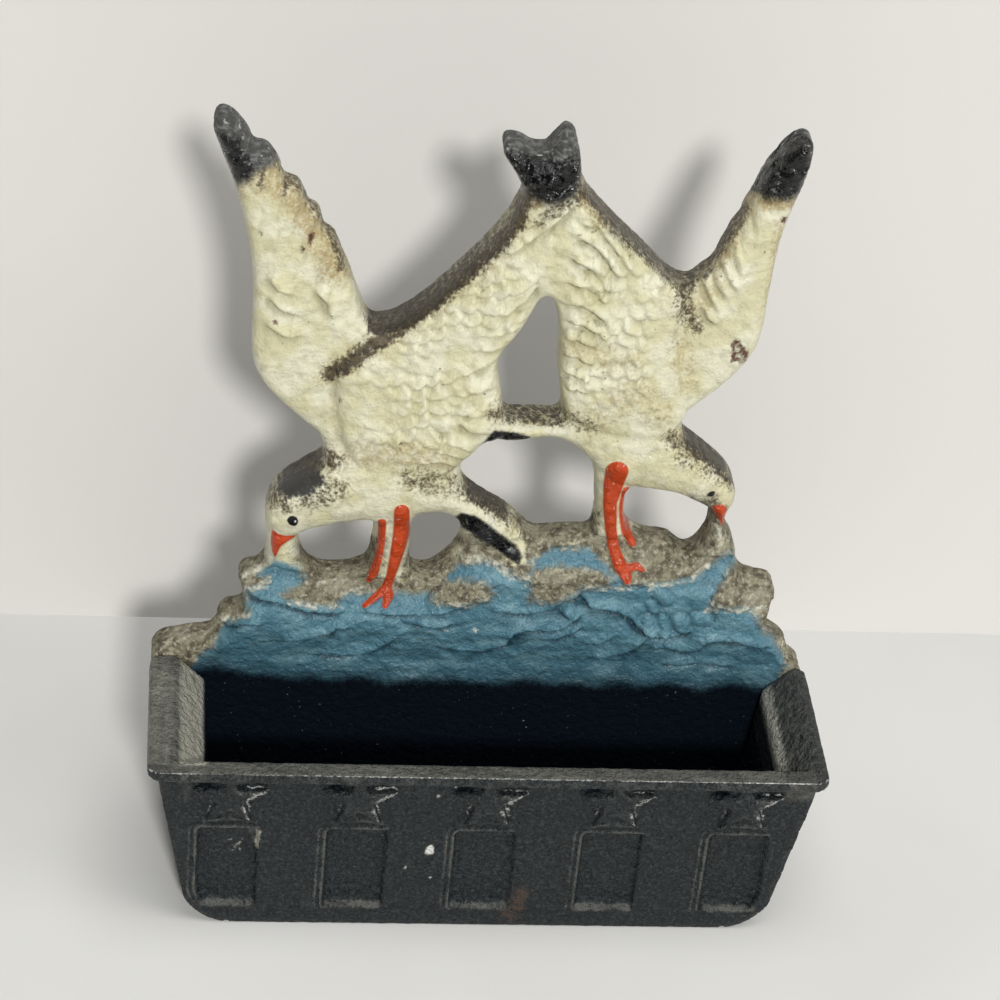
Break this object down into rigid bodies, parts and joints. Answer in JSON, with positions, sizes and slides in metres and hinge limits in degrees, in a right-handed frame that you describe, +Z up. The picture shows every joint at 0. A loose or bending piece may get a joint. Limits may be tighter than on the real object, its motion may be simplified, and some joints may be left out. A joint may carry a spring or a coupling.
{
  "type": "match holder",
  "caption": "Painted cast iron match holder: an open trough with raised stars and sunk panels, bolted to an openwork back plate of gulls feeding over a choppy sea.",
  "frame": {"origin": "middle of the base, on the surface that it stands on", "axes": "+Z up, -Y the front with the trough, +Y the flat back, +X to the right as seen from the front"},
  "size_m": [0.132, 0.046, 0.1611],
  "materials": {
    "painted_plate": "cold painted: cream gulls with brown airbrushed edges and gloss black tips, orange legs, blue sea",
    "black_trough": "black paint over a sand-cast skin, worn grey along the rim and edges",
    "fixings": "dark oxidised"
  },
  "bodies": {
    "root": {"back_plate": "painted_plate", "trough": "black_trough", "bolts": "fixings", "nuts": "fixings"}
  },
  "joints": []
}
